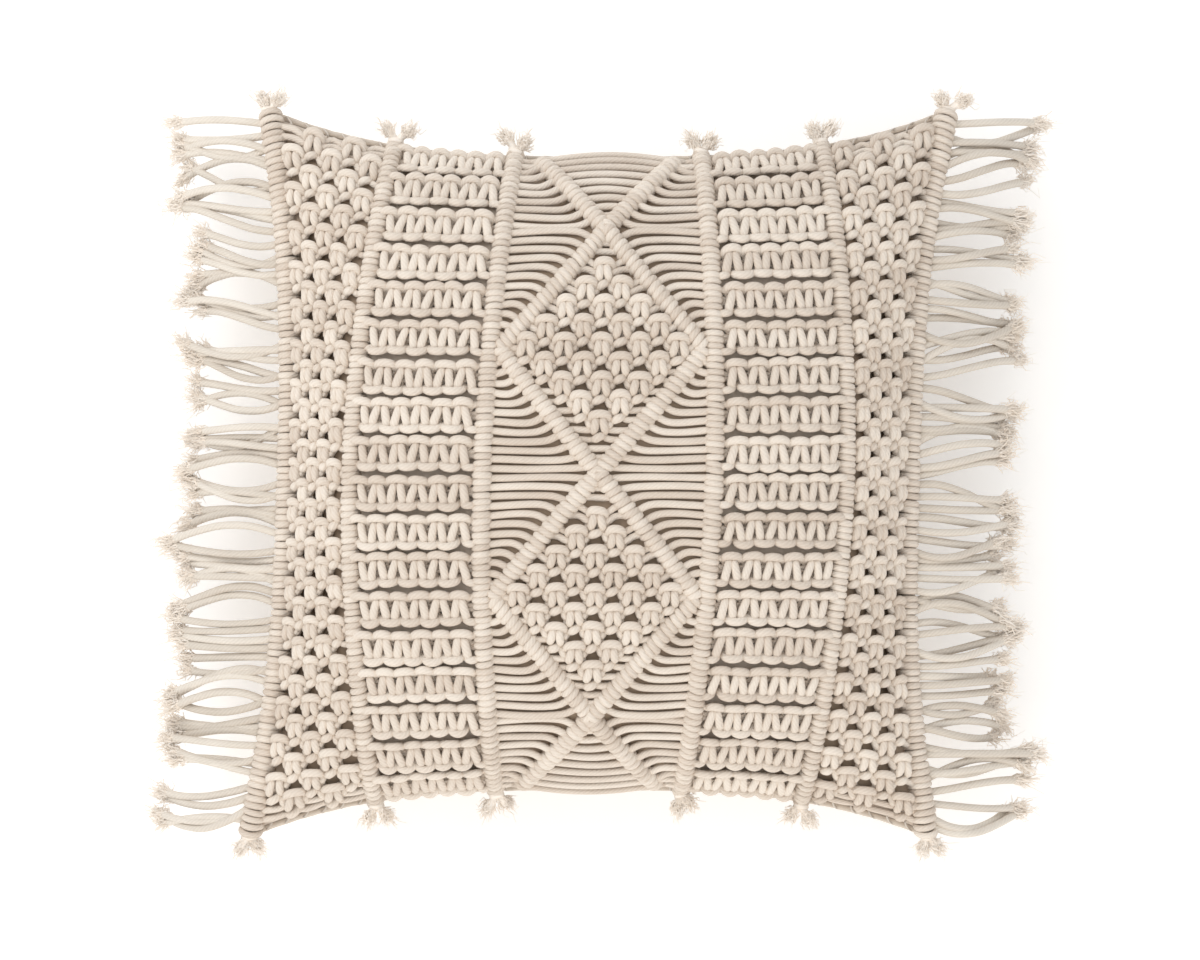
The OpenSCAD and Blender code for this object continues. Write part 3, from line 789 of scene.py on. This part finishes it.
def diagonals():
    """The crossed ridges round the diamonds. Where they meet, those of the right half lie higher."""
    strands = Strands()
    turns = [(0, 0), (MIDDLE_Y, CORNER_W), (TIP, 0), (TAIL_Y + 1, TAIL_W)]
    s = np.linspace(0, 1, 41)
    for way in (-1, 1):
        for side in (-1, 1):
            for (y0, w0), (y1, w1), crossing in zip(turns, turns[1:], (0, 1, 0)):
                w = 0.5 + side * (w0 + (w1 - w0) * s)
                y = way * (y0 + (y1 - y0) * s)
                lift = 1.2 * (side > 0) * np.exp(-((s - crossing) / 0.12) ** 2)
                centre, up = MIDDLE.place(w, y, lift), MIDDLE.normal(w, y)
                wraps(strands, centre, up, 3.9, 3.4, 4.2, 2.35, 0.8 * side * way)
                strands.add(MIDDLE.place(w[::4], y[::4], 3.2)[None], 2.4)
    return strands


# ---- Fringe ----

FRINGE_LENGTH = 55.0
FRINGE_R = 2.3                # a free cord is slacker than a knotted one
PLIES, PLY_R = 16, 0.85       # of a cut cord end
FIBRE_R = 0.38


def fan_out(fibres, tip, heading, spread, count, length, girth, radius):
    """Thin curly fibres that spread from a point of a cord."""
    m = len(tip)
    t = np.linspace(0, 1, 4)[:, None]
    tip, heading = np.repeat(tip, count, 0), np.repeat(heading, count, 0)
    splay = rng.normal(0, 1, (m * count, 3)) * spread
    curl = rng.normal(0, 1, (m * count, 3)) * spread * 1.3
    reach = length * rng.uniform(0.3, 1.1, (m * count, 1, 1))
    start = tip - 2.5 * heading + np.clip(rng.normal(0, 1, (m * count, 3)), -1.6, 1.6) * girth * 0.6
    paths = start[:, None] + reach * (
        heading[:, None] * t + splay[:, None] * t + curl[:, None] * np.sin(6.5 * t) * t * 0.6
    )
    fibres.add(paths, radius * np.linspace(1, 0.5, 4), sides=3)


def frayed_end(fibres, tip, heading, spread, count, length, girth):
    """A cut cord end: its loosened plies, and the finer fibres round them."""
    fan_out(fibres, tip, heading, spread * 0.9, PLIES, length * 0.85, 0.9, PLY_R)
    fan_out(fibres, tip, heading, spread, count, length, girth, FIBRE_R)


FRINGE_GIRTH = ((0, 0.12, 0.85, 0.96, 1), (0.95, 1, 1, 1.08, 0.7))


def fringe(side):
    """Working cords past the edge ridge, in clumps whose frayed ends meet."""
    cords, fibres = Strands(), Strands()
    arcs = ARCS["edge_right" if side > 0 else "edge_left"]
    band, w_edge = (Band(arcs - 10, arcs), 1.0) if side > 0 else (Band(arcs, arcs + 10), 0.0)
    waiting = CORD_Y
    while len(waiting):
        size = int(rng.integers(3, 7))
        clump, waiting = waiting[:size], waiting[size:]
        middle_y = np.mean(clump) + rng.normal(0, 0.5)
        heading_y = 0.10 * middle_y / (CORDS / 2) + rng.normal(0, 0.07)
        droop = rng.uniform(14, 26)
        reach = FRINGE_LENGTH * rng.uniform(0.9, 1.06)
        root = band.place(w_edge, np.clip(middle_y, CORD_Y[0] + 0.1, CORD_Y[-1] - 0.1), 3.0)
        goal = root + [side * (reach + 4), heading_y * reach, -droop]
        for y in clump:
            start = band.place(w_edge, y, 1.2)
            end = goal + [rng.normal(0, 3.4), 0.60 * (start[1] - root[1]) + rng.normal(0, 3.0),
                          rng.uniform(-3.5, 4.5)]
            arch = rng.normal(0, 3.0) if rng.random() < 0.65 else rng.choice([-1, 1]) * rng.uniform(5, 10)
            rise = rng.uniform(0.5, 8)
            s = np.array([-0.03, 0.08, 0.3, 0.55, 0.8, 1.0])
            out = np.maximum(s, 0)
            keys = start + (end - start) * np.stack([s, eased(s), out**1.6], -1)
            keys[:, 1] += arch * np.sin(math.pi * out**0.9)
            keys[:, 2] += rise * np.sin(math.pi * out)
            path = curve_through(keys[None], 6)
            girth = np.interp(np.linspace(0, 1, path.shape[1]), *FRINGE_GIRTH)
            cords.add(path, FRINGE_R * rng.uniform(0.94, 1.05) * girth[None])
            heading = unit(path[:, -1] - path[:, -4])
            frayed_end(fibres, path[:, -1], heading, 0.30, 85, 11.5, FRINGE_R)
    return cords, fibres


def ridge_tails(way, ridges):
    """Where each ridge's holding cord ends: a small knot, and short stubs whose ends are frayed."""
    fibres = Strands()
    for centre, up in ridges:
        k = -1 if way > 0 else 0
        out = unit(centre[k] - centre[k - 6 if way > 0 else 6])
        out = unit(out * [1, 1, 0.25] + [rng.normal(0, 0.15), 0.25 * way, 0.2])
        side = unit(np.cross(out, [0, 0, 1.0]))
        start = centre[k] + up[k] * 3.8
        turn = np.linspace(0.15, 1.85, 12)[:, None] * math.pi
        loop = start + out * 0.6 + side * 3.2 * np.cos(turn) + [0, 0, 2.8] * np.sin(turn)
        fibres.add((loop + out * 0.9 * turn / math.pi)[None], 2.0, shade=0.3)
        s = np.linspace(0, 1, 8)[:, None]
        for lean in (-0.75, 0.7):
            lean += rng.normal(0, 0.15)
            length = rng.uniform(6.0, 8.5)
            rise = [0, 0, rng.uniform(-1, 2.5)]
            stub = start + out * length * s + side * lean * length * s**1.2 + rise * s
            fibres.add(stub[None], np.linspace(2.0, 2.7, 8)[None], shade=0.8)
            heading = unit(stub[-1:] - stub[-3:-2])
            frayed_end(fibres, stub[-1:], heading, 0.42, 150, 5.4, 3.2)
    return fibres


# ---- Canvas cover and insert ----

GRID = 88
CLOTH_STEPS, CLOTH_CAP = 20, 6.0
FRONT_SINK = (0.4, 3.0)
U_SHARES, V_SHARES = np.meshgrid(bunched(GRID + 1), bunched(GRID + 1), indexing="ij")


def rim(grid):
    """Entries once round the edge of a grid."""
    return np.r_[grid[:, 0], grid[-1, 1:], grid[-2::-1, -1], grid[0, -2:0:-1]]


def closed_grids(upper, lower):
    """Points and quads of the solid between two grids."""
    n, m, _ = upper.shape
    index = np.arange(n * m).reshape(n, m)
    quads = np.stack([index[:-1, :-1], index[1:, :-1], index[1:, 1:], index[:-1, 1:]], -1).reshape(-1, 4)
    edge = rim(index)
    ahead = np.roll(edge, -1)
    sides = np.stack([edge, edge + n * m, ahead + n * m, ahead], 1)
    points = np.concatenate([upper.reshape(-1, 3), lower.reshape(-1, 3)])
    return points, np.concatenate([quads, quads[:, ::-1] + n * m, sides])


def grid_normals(grid):
    return unit(np.cross(np.gradient(grid, axis=0), np.gradient(grid, axis=1)))


def inside(power):
    """1 over the cloth and 0 at its seam. A higher power keeps the fall closer to the seam."""
    return 1 - np.maximum(np.abs(U_SHARES), np.abs(V_SHARES))[..., None] ** power


def swell():
    """How far the cloth simulation moves each grid point of the cover's front and back."""
    upper, lower = front(U_SHARES, V_SHARES), back(U_SHARES, V_SHARES)
    points, quads = closed_grids(upper, lower)
    ob = mesh_object("canvas_form", points, quads, CANVAS)
    seam = ob.vertex_groups.new(name="seam")
    for index in np.arange(len(points)).reshape(2, *U_SHARES.shape):
        seam.add(rim(index).tolist(), 1.0, "REPLACE")
    cloth = ob.modifiers.new("cloth", "CLOTH")
    for key, value in dict(
        quality=5, mass=0.25, tension_stiffness=14, compression_stiffness=14, bending_stiffness=0.4,
        shrink_min=-0.035, use_pressure=True, uniform_pressure_force=4, vertex_group_mass="seam",
    ).items():
        setattr(cloth.settings, key, value)
    cloth.settings.effector_weights.gravity = 0
    cloth.point_cache.frame_start, cloth.point_cache.frame_end = 1, CLOTH_STEPS
    scene = bpy.context.scene
    for step in range(1, CLOTH_STEPS + 1):
        scene.frame_set(step)
    plumped = ob.evaluated_get(bpy.context.evaluated_depsgraph_get()).data
    moved = np.empty(3 * len(points), np.float32)
    plumped.vertices.foreach_get("co", moved)
    moved = moved.reshape(-1, 3) / MM - points
    form_mesh = ob.data
    bpy.data.objects.remove(ob)
    bpy.data.meshes.remove(form_mesh)
    scene.frame_set(1)
    moved *= np.minimum(1, CLOTH_CAP / np.maximum(np.linalg.norm(moved, axis=1, keepdims=True), 1e-9))
    return moved.reshape(2, *upper.shape)


def read_grid(table, u, v):
    """Values of a grid's table at shares u and v."""
    places = [(np.arcsin(np.clip(share, -1, 1)) * 2 / math.pi + 1) / 2 * GRID for share in (u, v)]
    return between(table, *places)


def puckers(u, v):
    """Gathers that the seam pulls into the canvas, in millimetres."""
    x, y = u * MID_HALF_WIDTH, v * MID_HALF_HEIGHT
    from_end, from_side = (1 - np.abs(v)) * MID_HALF_HEIGHT, (1 - np.abs(u)) * MID_HALF_WIDTH

    def gather(along, away):
        wave = np.sin(0.40 * along + 1.4 * np.sin(0.13 * along)) + 0.5 * np.sin(0.83 * along + 2)
        return 0.75 * wave * np.exp(-away / 7) * (1 - np.exp(-away / 1.2))

    return gather(x, from_end) + gather(y, from_side)


FRONT_SWELL, BACK_SWELL = swell()


def lining_grid():
    """The cover's front, held down by the knotting that lies on it."""
    grid = front(U_SHARES, V_SHARES)
    normal = grid_normals(grid)
    rise = (FRONT_SWELL * normal).sum(-1, keepdims=True)
    sink = np.clip(1.6 - 0.5 * rise - 0.6 * puckers(U_SHARES, V_SHARES)[..., None], *FRONT_SINK)
    return grid + inside(40) * (0.4 * (FRONT_SWELL - rise * normal) - normal * sink)


def shade_lining(ob):
    """Marks where the knotting is close enough to keep light from the lining."""
    outer, inner = ridge_u(OUTER_RIDGE, V_SHARES), ridge_u(INNER_RIDGE, V_SHARES)
    rows = (np.abs(U_SHARES) < outer) & (np.abs(U_SHARES) > inner)
    # painted shade: full under the nets and the middle panel, slight under the knot rows, fading out at the
    # seam
    mark(ob, "painted_lining_shade", np.tile((np.where(rows, 0.1, 1.0) * inside(30)[..., 0]).ravel(), 2))


def up_tape(points):
    return (points[..., 1] - ZIP_Y) * TAPE_UP[0] + (points[..., 2] - ZIP_Z) * TAPE_UP[1]


def edge_share(u, up):
    """Share v at which the back lies that far up the tape's plane."""
    low, high = np.full_like(u, -1.0), np.full_like(u, -0.7)
    for _ in range(24):
        v = (low + high) / 2
        above = up_tape(back(u, v)) > up
        low, high = np.where(above, v, low), np.where(above, high, v)
    return v


def past_opening(u):
    return np.clip((np.abs(u * MID_HALF_WIDTH) - OPENING_HALF) / OPENING_RAMP, 0, 1)


def back_points(u, v):
    """The cover's back, swelled and gathered, but plain beside the zip and flat on the floor."""
    points = back(u, v)
    outward = unit(points - [0, 0, SEAM_Z])
    beside = np.clip((np.abs(up_tape(points)) - TAPE_REACH) / 10, 0, 1)
    beside = np.where(points[..., 1] < -150, beside, 1.0)
    past_tape = np.clip((np.abs(points[..., 0]) - OPENING_HALF - 8) / 12, 0, 1)
    free = np.maximum(eased(beside), past_tape)[..., None]
    points = points + free * (read_grid(BACK_SWELL, u, v) + outward * puckers(u, v)[..., None])
    points[..., 2] = np.maximum(points[..., 2], 0.2)
    return points


def cloth_panel(name, outer, outward, thickness, material):
    """A cut of cloth: outer is its grid of outer points, outward is 1 where that grid faces up.

    Its UV map runs in millimetres along the cloth.
    """
    inner = outer - outward * grid_normals(outer) * np.broadcast_to(thickness, outer.shape[:2])[..., None]
    upper, lower = (outer, inner) if outward > 0 else (inner, outer)
    points, quads = closed_grids(upper, lower)
    ob = mesh_object(name, points, quads, material)
    along = np.stack([path_length(upper.swapaxes(0, 1)).T, path_length(upper)], -1).reshape(-1, 2)
    layer = ob.data.uv_layers.new(name="weave")
    layer.data.foreach_set("uv", np.tile(along, (2, 1))[quads].astype(np.float32).ravel())
    return ob


COLUMNS = bunched(161)
CANVAS_THICKNESS = 1.0
HEM, HEM_THICKNESS = 8.0, 2.0


def hem(away):
    """Thickness of a panel that is folded double beside the zip."""
    return CANVAS_THICKNESS + (HEM_THICKNESS - CANVAS_THICKNESS) / (1 + np.exp((away - HEM) * 2.0))


def back_cut(name, v, folded):
    """A panel of the back with shares v, folded beside the zip at its first row (0) or last (-1)."""
    grid = back_points(*np.broadcast_arrays(COLUMNS[:, None], v))
    along = path_length(grid)
    return cloth_panel(name, grid, -1, hem(np.abs(along - along[:, [folded]])), CANVAS), grid


def back_main():
    edge = edge_share(COLUMNS, -ZIP_REVEAL / 2 + (ZIP_REVEAL - 0.5) * past_opening(COLUMNS))[:, None]
    return back_cut("back_panel", edge + (1 - edge) * (bunched(101) + 1) / 2, 0)


def back_strip():
    edge = edge_share(COLUMNS, np.full_like(COLUMNS, ZIP_REVEAL / 2))[:, None]
    return back_cut("back_strip_by_zip", -1 + (edge + 1) * np.linspace(0, 1, 13) ** 2, -1)


def panel_stitching(grid, row, length=2.6, pitch=3.6):
    """Topstitching along one row of a back panel's grid: short threads that dip in at both ends."""
    strands = Strands()
    use = np.abs(grid[:, row, 0]) < OPENING_HALF + 14
    path, outward = grid[use, row], -grid_normals(grid)[use, row]
    lengths, s = path_length(path), np.linspace(0, 1, 5)
    at = np.arange(pitch, lengths[-1] - pitch, pitch)[:, None] + length * s
    out = along_path(outward, lengths, at) * (0.45 * np.sin(math.pi * s) - 0.2)[:, None]
    strands.add(along_path(path, lengths, at) + out, 0.38, sides=6)
    return strands


WELT_R = 2.0
WADDING_GAP = 1.6


def edge_seam():
    """Turned seam all round, and the thread that whips the knotting's ends to it."""
    welt, thread = Strands(), Strands()
    s = np.linspace(-1, 1, 91)[:-1]
    one = np.ones_like(s)
    u, v = np.r_[one, -s, -one, s, 1], np.r_[s, one, -s, -one, -1]
    k = np.arange(len(u))
    path = form(u, v, SEAM_Z + 0.3 * np.sin(0.31 * k), -WELT_R - 0.6)
    welt.add(path[None], WELT_R * (1 + 0.07 * np.sin(1.9 * k + np.sin(0.7 * k))), sides=12)
    for way in (-1, 1):
        for u in np.linspace(-0.93, 0.93, 36):
            knotting = front(u, way * PANEL_REACH) + front_normal(u, way * PANEL_REACH) * 2.5
            seam = form(u, float(way), SEAM_Z + WELT_R * 0.7, -WELT_R - 0.6)
            beyond = form(u + 0.02, float(way), SEAM_Z - WELT_R * 0.6, -2 * WELT_R)
            out = np.array([0, way * 1.2, 0.4])
            keys = np.array([knotting - out, knotting + out, seam + out * 1.2, beyond])
            thread.add(curve_through(keys[None], 4), 0.55, sides=6)
    return welt, thread


def insert_grid(side):
    """The insert's front (1) or back (-1), which follows the cover at a distance."""
    shape, swelled = (front, FRONT_SWELL) if side > 0 else (back, BACK_SWELL)
    grid = shape(U_SHARES, V_SHARES, INSERT_GAP, INSERT_LIFT)
    return grid + 0.5 * inside(12) * np.clip(swelled, -3, 3)


def insert_fill():
    """The wadding, just inside the casing."""
    casings = ((side, insert_grid(side)) for side in (1, -1))
    grids = [(grid - side * WADDING_GAP * grid_normals(grid))[::2, ::2] for side, grid in casings]
    return mesh_object("insert_wadding", *closed_grids(*grids), FILL)


# ---- Zip ----


def at_zip(x, y, z):
    """World points, in millimetres, of points along the zip, up its tape and out of the cover."""
    x, y, z = (a[..., None] for a in np.broadcast_arrays(x, y, z - ZIP_DEPTH))
    return [0, ZIP_Y, ZIP_Z] + x * [1, 0, 0] + y * [0, *TAPE_UP] + z * [0, *TAPE_OUT]


COIL_PITCH = 1.7


def zip_coil(side):
    """Wire wound into a coil, whose turns pass between those of the other coil."""
    strands = Strands()
    turns = int(ZIP_LENGTH / COIL_PITCH)
    angle = np.linspace(0, 2 * math.pi * turns, turns * 10 + 1)
    x = (angle / (2 * math.pi * turns) - 0.5) * (ZIP_LENGTH - 2) + (0.25 * COIL_PITCH * side)
    strands.add(at_zip(x, side * (1.05 + 0.8 * np.cos(angle)), 0.58 * np.sin(angle))[None], 0.32, sides=6)
    return strands


# ---- Pieces ----


ROOT = "cushion"


def piece(ob, slot, *nodes):
    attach(ob, ROOT)
    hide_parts(*nodes)
    return ob


ridge_lines = []
for hand, slant, names in (("left", 0.5, list(RIDGES)), ("right", -0.5, list(RIDGES)[::-1])):
    for name in names:
        node = f"ridge_{name}_{hand}"
        strands, *line = ridge(ARCS[f"{name}_{hand}"], slant, RIDGE_HALF[name])
        ridge_lines.append(line)
        piece(strands.build(node + "_hitches", CORD), "macrame_cord", node)
piece(diagonals().build("diagonal_hitches", CORD), "macrame_cord", "ridge_diagonals")
for name, node, make, sorts in (
    ("square_knot_rows_", "knot_rows_", knot_rows,
     {"left": (ROWS_LEFT, True), "right": (ROWS_RIGHT, False)}),
    ("square_knot_net_", "knot_net_", knot_net, {"left": (NET_LEFT, True), "right": (NET_RIGHT, False)}),
    ("diamond_", "diamond_knots_", diamond_knots, {"upper": (1,), "lower": (-1,)}),
    ("loose_cords_", "plain_cords_", plain_cords, {"left": (-1,), "right": (1,)}),
    ("loose_cords_", "plain_cords_", end_cords, {"top": (1,), "bottom": (-1,)}),
):
    for place, values in sorts.items():
        piece(make(*values).build(name + place, CORD), "macrame_cord", node + place)
for side, name in ((-1, "left"), (1, "right")):
    cords, fibres = fringe(side)
    piece(cords.build("fringe_cords_" + name, FRINGE), "frayed_cord", "fringe_" + name)
    piece(fibres.build("fringe_fraying_" + name, FIBRE), "frayed_cord", "fringe_" + name)
for way, name in ((1, "top"), (-1, "bottom")):
    tails = ridge_tails(way, ridge_lines).build("holding_cord_ends_" + name, FIBRE)
    piece(tails, "frayed_cord", "ridge_tails_" + name)

# Cut sizes of the cloths, in metres
CLOTH_CUT, MAIN_CUT, STRIP_CUT = 0.45, 0.42, 0.026

lining = cloth_panel("front_lining", lining_grid(), 1, CANVAS_THICKNESS, LINING)
shade_lining(lining)
main, main_grid = back_main()
strip, strip_grid = back_strip()
for cloth, node, height, under in (
    (lining, "cover_lining_front", CLOTH_CUT, "insert_casing_front"),
    (main, "cover_back_main", MAIN_CUT, "insert_casing_back"),
    (strip, "cover_back_strip", STRIP_CUT, "insert_casing_back"),
):
    piece(cloth, "cover_canvas", node)
piece(panel_stitching(main_grid, 6).build("stitching_back_panel", THREAD), "cover_canvas")
piece(panel_stitching(strip_grid, 9).build("stitching_back_strip", THREAD), "cover_canvas")
welt, thread = edge_seam()
piece(welt.build("side_seam", WELT), "cover_canvas", "cover_edge_seam")
piece(thread.build("whip_stitches", THREAD), "cover_canvas", "cover_edge_seam")
for side, node in ((1, "insert_casing_front"), (-1, "insert_casing_back")):
    casing = cloth_panel(node + "_cloth", insert_grid(side), side, 0.6, TICKING)
    piece(casing, "insert_casing", node)
piece(insert_fill(), "fibre_fill", "insert_fill")
for side, node in ((1, "zip_coil_upper"), (-1, "zip_coil_lower")):
    piece(zip_coil(side).build(node + "_turns", COIL), "zip_coil", node)
for node, material in (
    ("zip_tape_upper", TAPE), ("zip_tape_lower", TAPE), ("zip_top_stops", METAL),
    ("zip_bottom_stop", METAL), ("zip_slider", METAL), ("zip_pull", METAL),
):
    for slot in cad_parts[node].material_slots:
        slot.material = material


# ---- Camera, floor and light ----

FRAME_WIDTH = 0.72
LENS, SENSOR = 85, 36


def camera():
    data = bpy.data.cameras.new("camera")
    data.lens, data.sensor_width = LENS, SENSOR
    ob = bpy.data.objects.new("camera", data)
    bpy.context.scene.collection.objects.link(ob)
    ob.location = (0.001, -0.004, 0.06 + FRAME_WIDTH * LENS / SENSOR)
    bpy.context.scene.camera = ob


FLOOR_GLOW = 0.22     # lifts the shadows: the photo is cut out on white


def floor():
    n = Nodes("pale_floor")
    n.set(Base_Color=n.ramp(n.noise(6.0), (0.3, (0.93, 0.93, 0.925)), (0.7, (0.95, 0.95, 0.945))),
          Roughness=0.9, Specular_IOR_Level=0.1, Emission_Strength=FLOOR_GLOW)
    corners = 3000 * np.array([(-1, -1, 0), (1, -1, 0), (1, 1, 0), (-1, 1, 0)])
    mesh_object("floor", corners, np.array([[0, 1, 2, 3]]), n.material, smooth=False)


def area_light(name, place, size, power, colour):
    data = bpy.data.lights.new(name, "AREA")
    data.shape, data.size, data.energy, data.color = "DISK", size, power, colour
    ob = bpy.data.objects.new(name, data)
    bpy.context.scene.collection.objects.link(ob)
    ob.location = place
    ob.rotation_euler = (-ob.location).to_track_quat("-Z", "Y").to_euler()


def lights():
    area_light("key", (-0.88, 0.62, 0.9), 0.8, 5.2, (1.0, 0.985, 0.97))
    area_light("fill", (0.05, -1.3, 0.95), 1.3, 7.2, (1.0, 0.91, 0.80))
    area_light("overhead", (0.0, 0.2, 2.6), 2.0, 2.0, (1.0, 1.0, 1.0))
    world = bpy.data.worlds.new("soft_room")
    bpy.context.scene.world = world
    world.use_nodes = True
    background = world.node_tree.nodes["Background"]
    background.inputs["Color"].default_value = (1, 1, 1, 1)
    background.inputs["Strength"].default_value = 0.8


camera()
floor()
lights()
bpy.context.scene.view_settings.view_transform = "Standard"
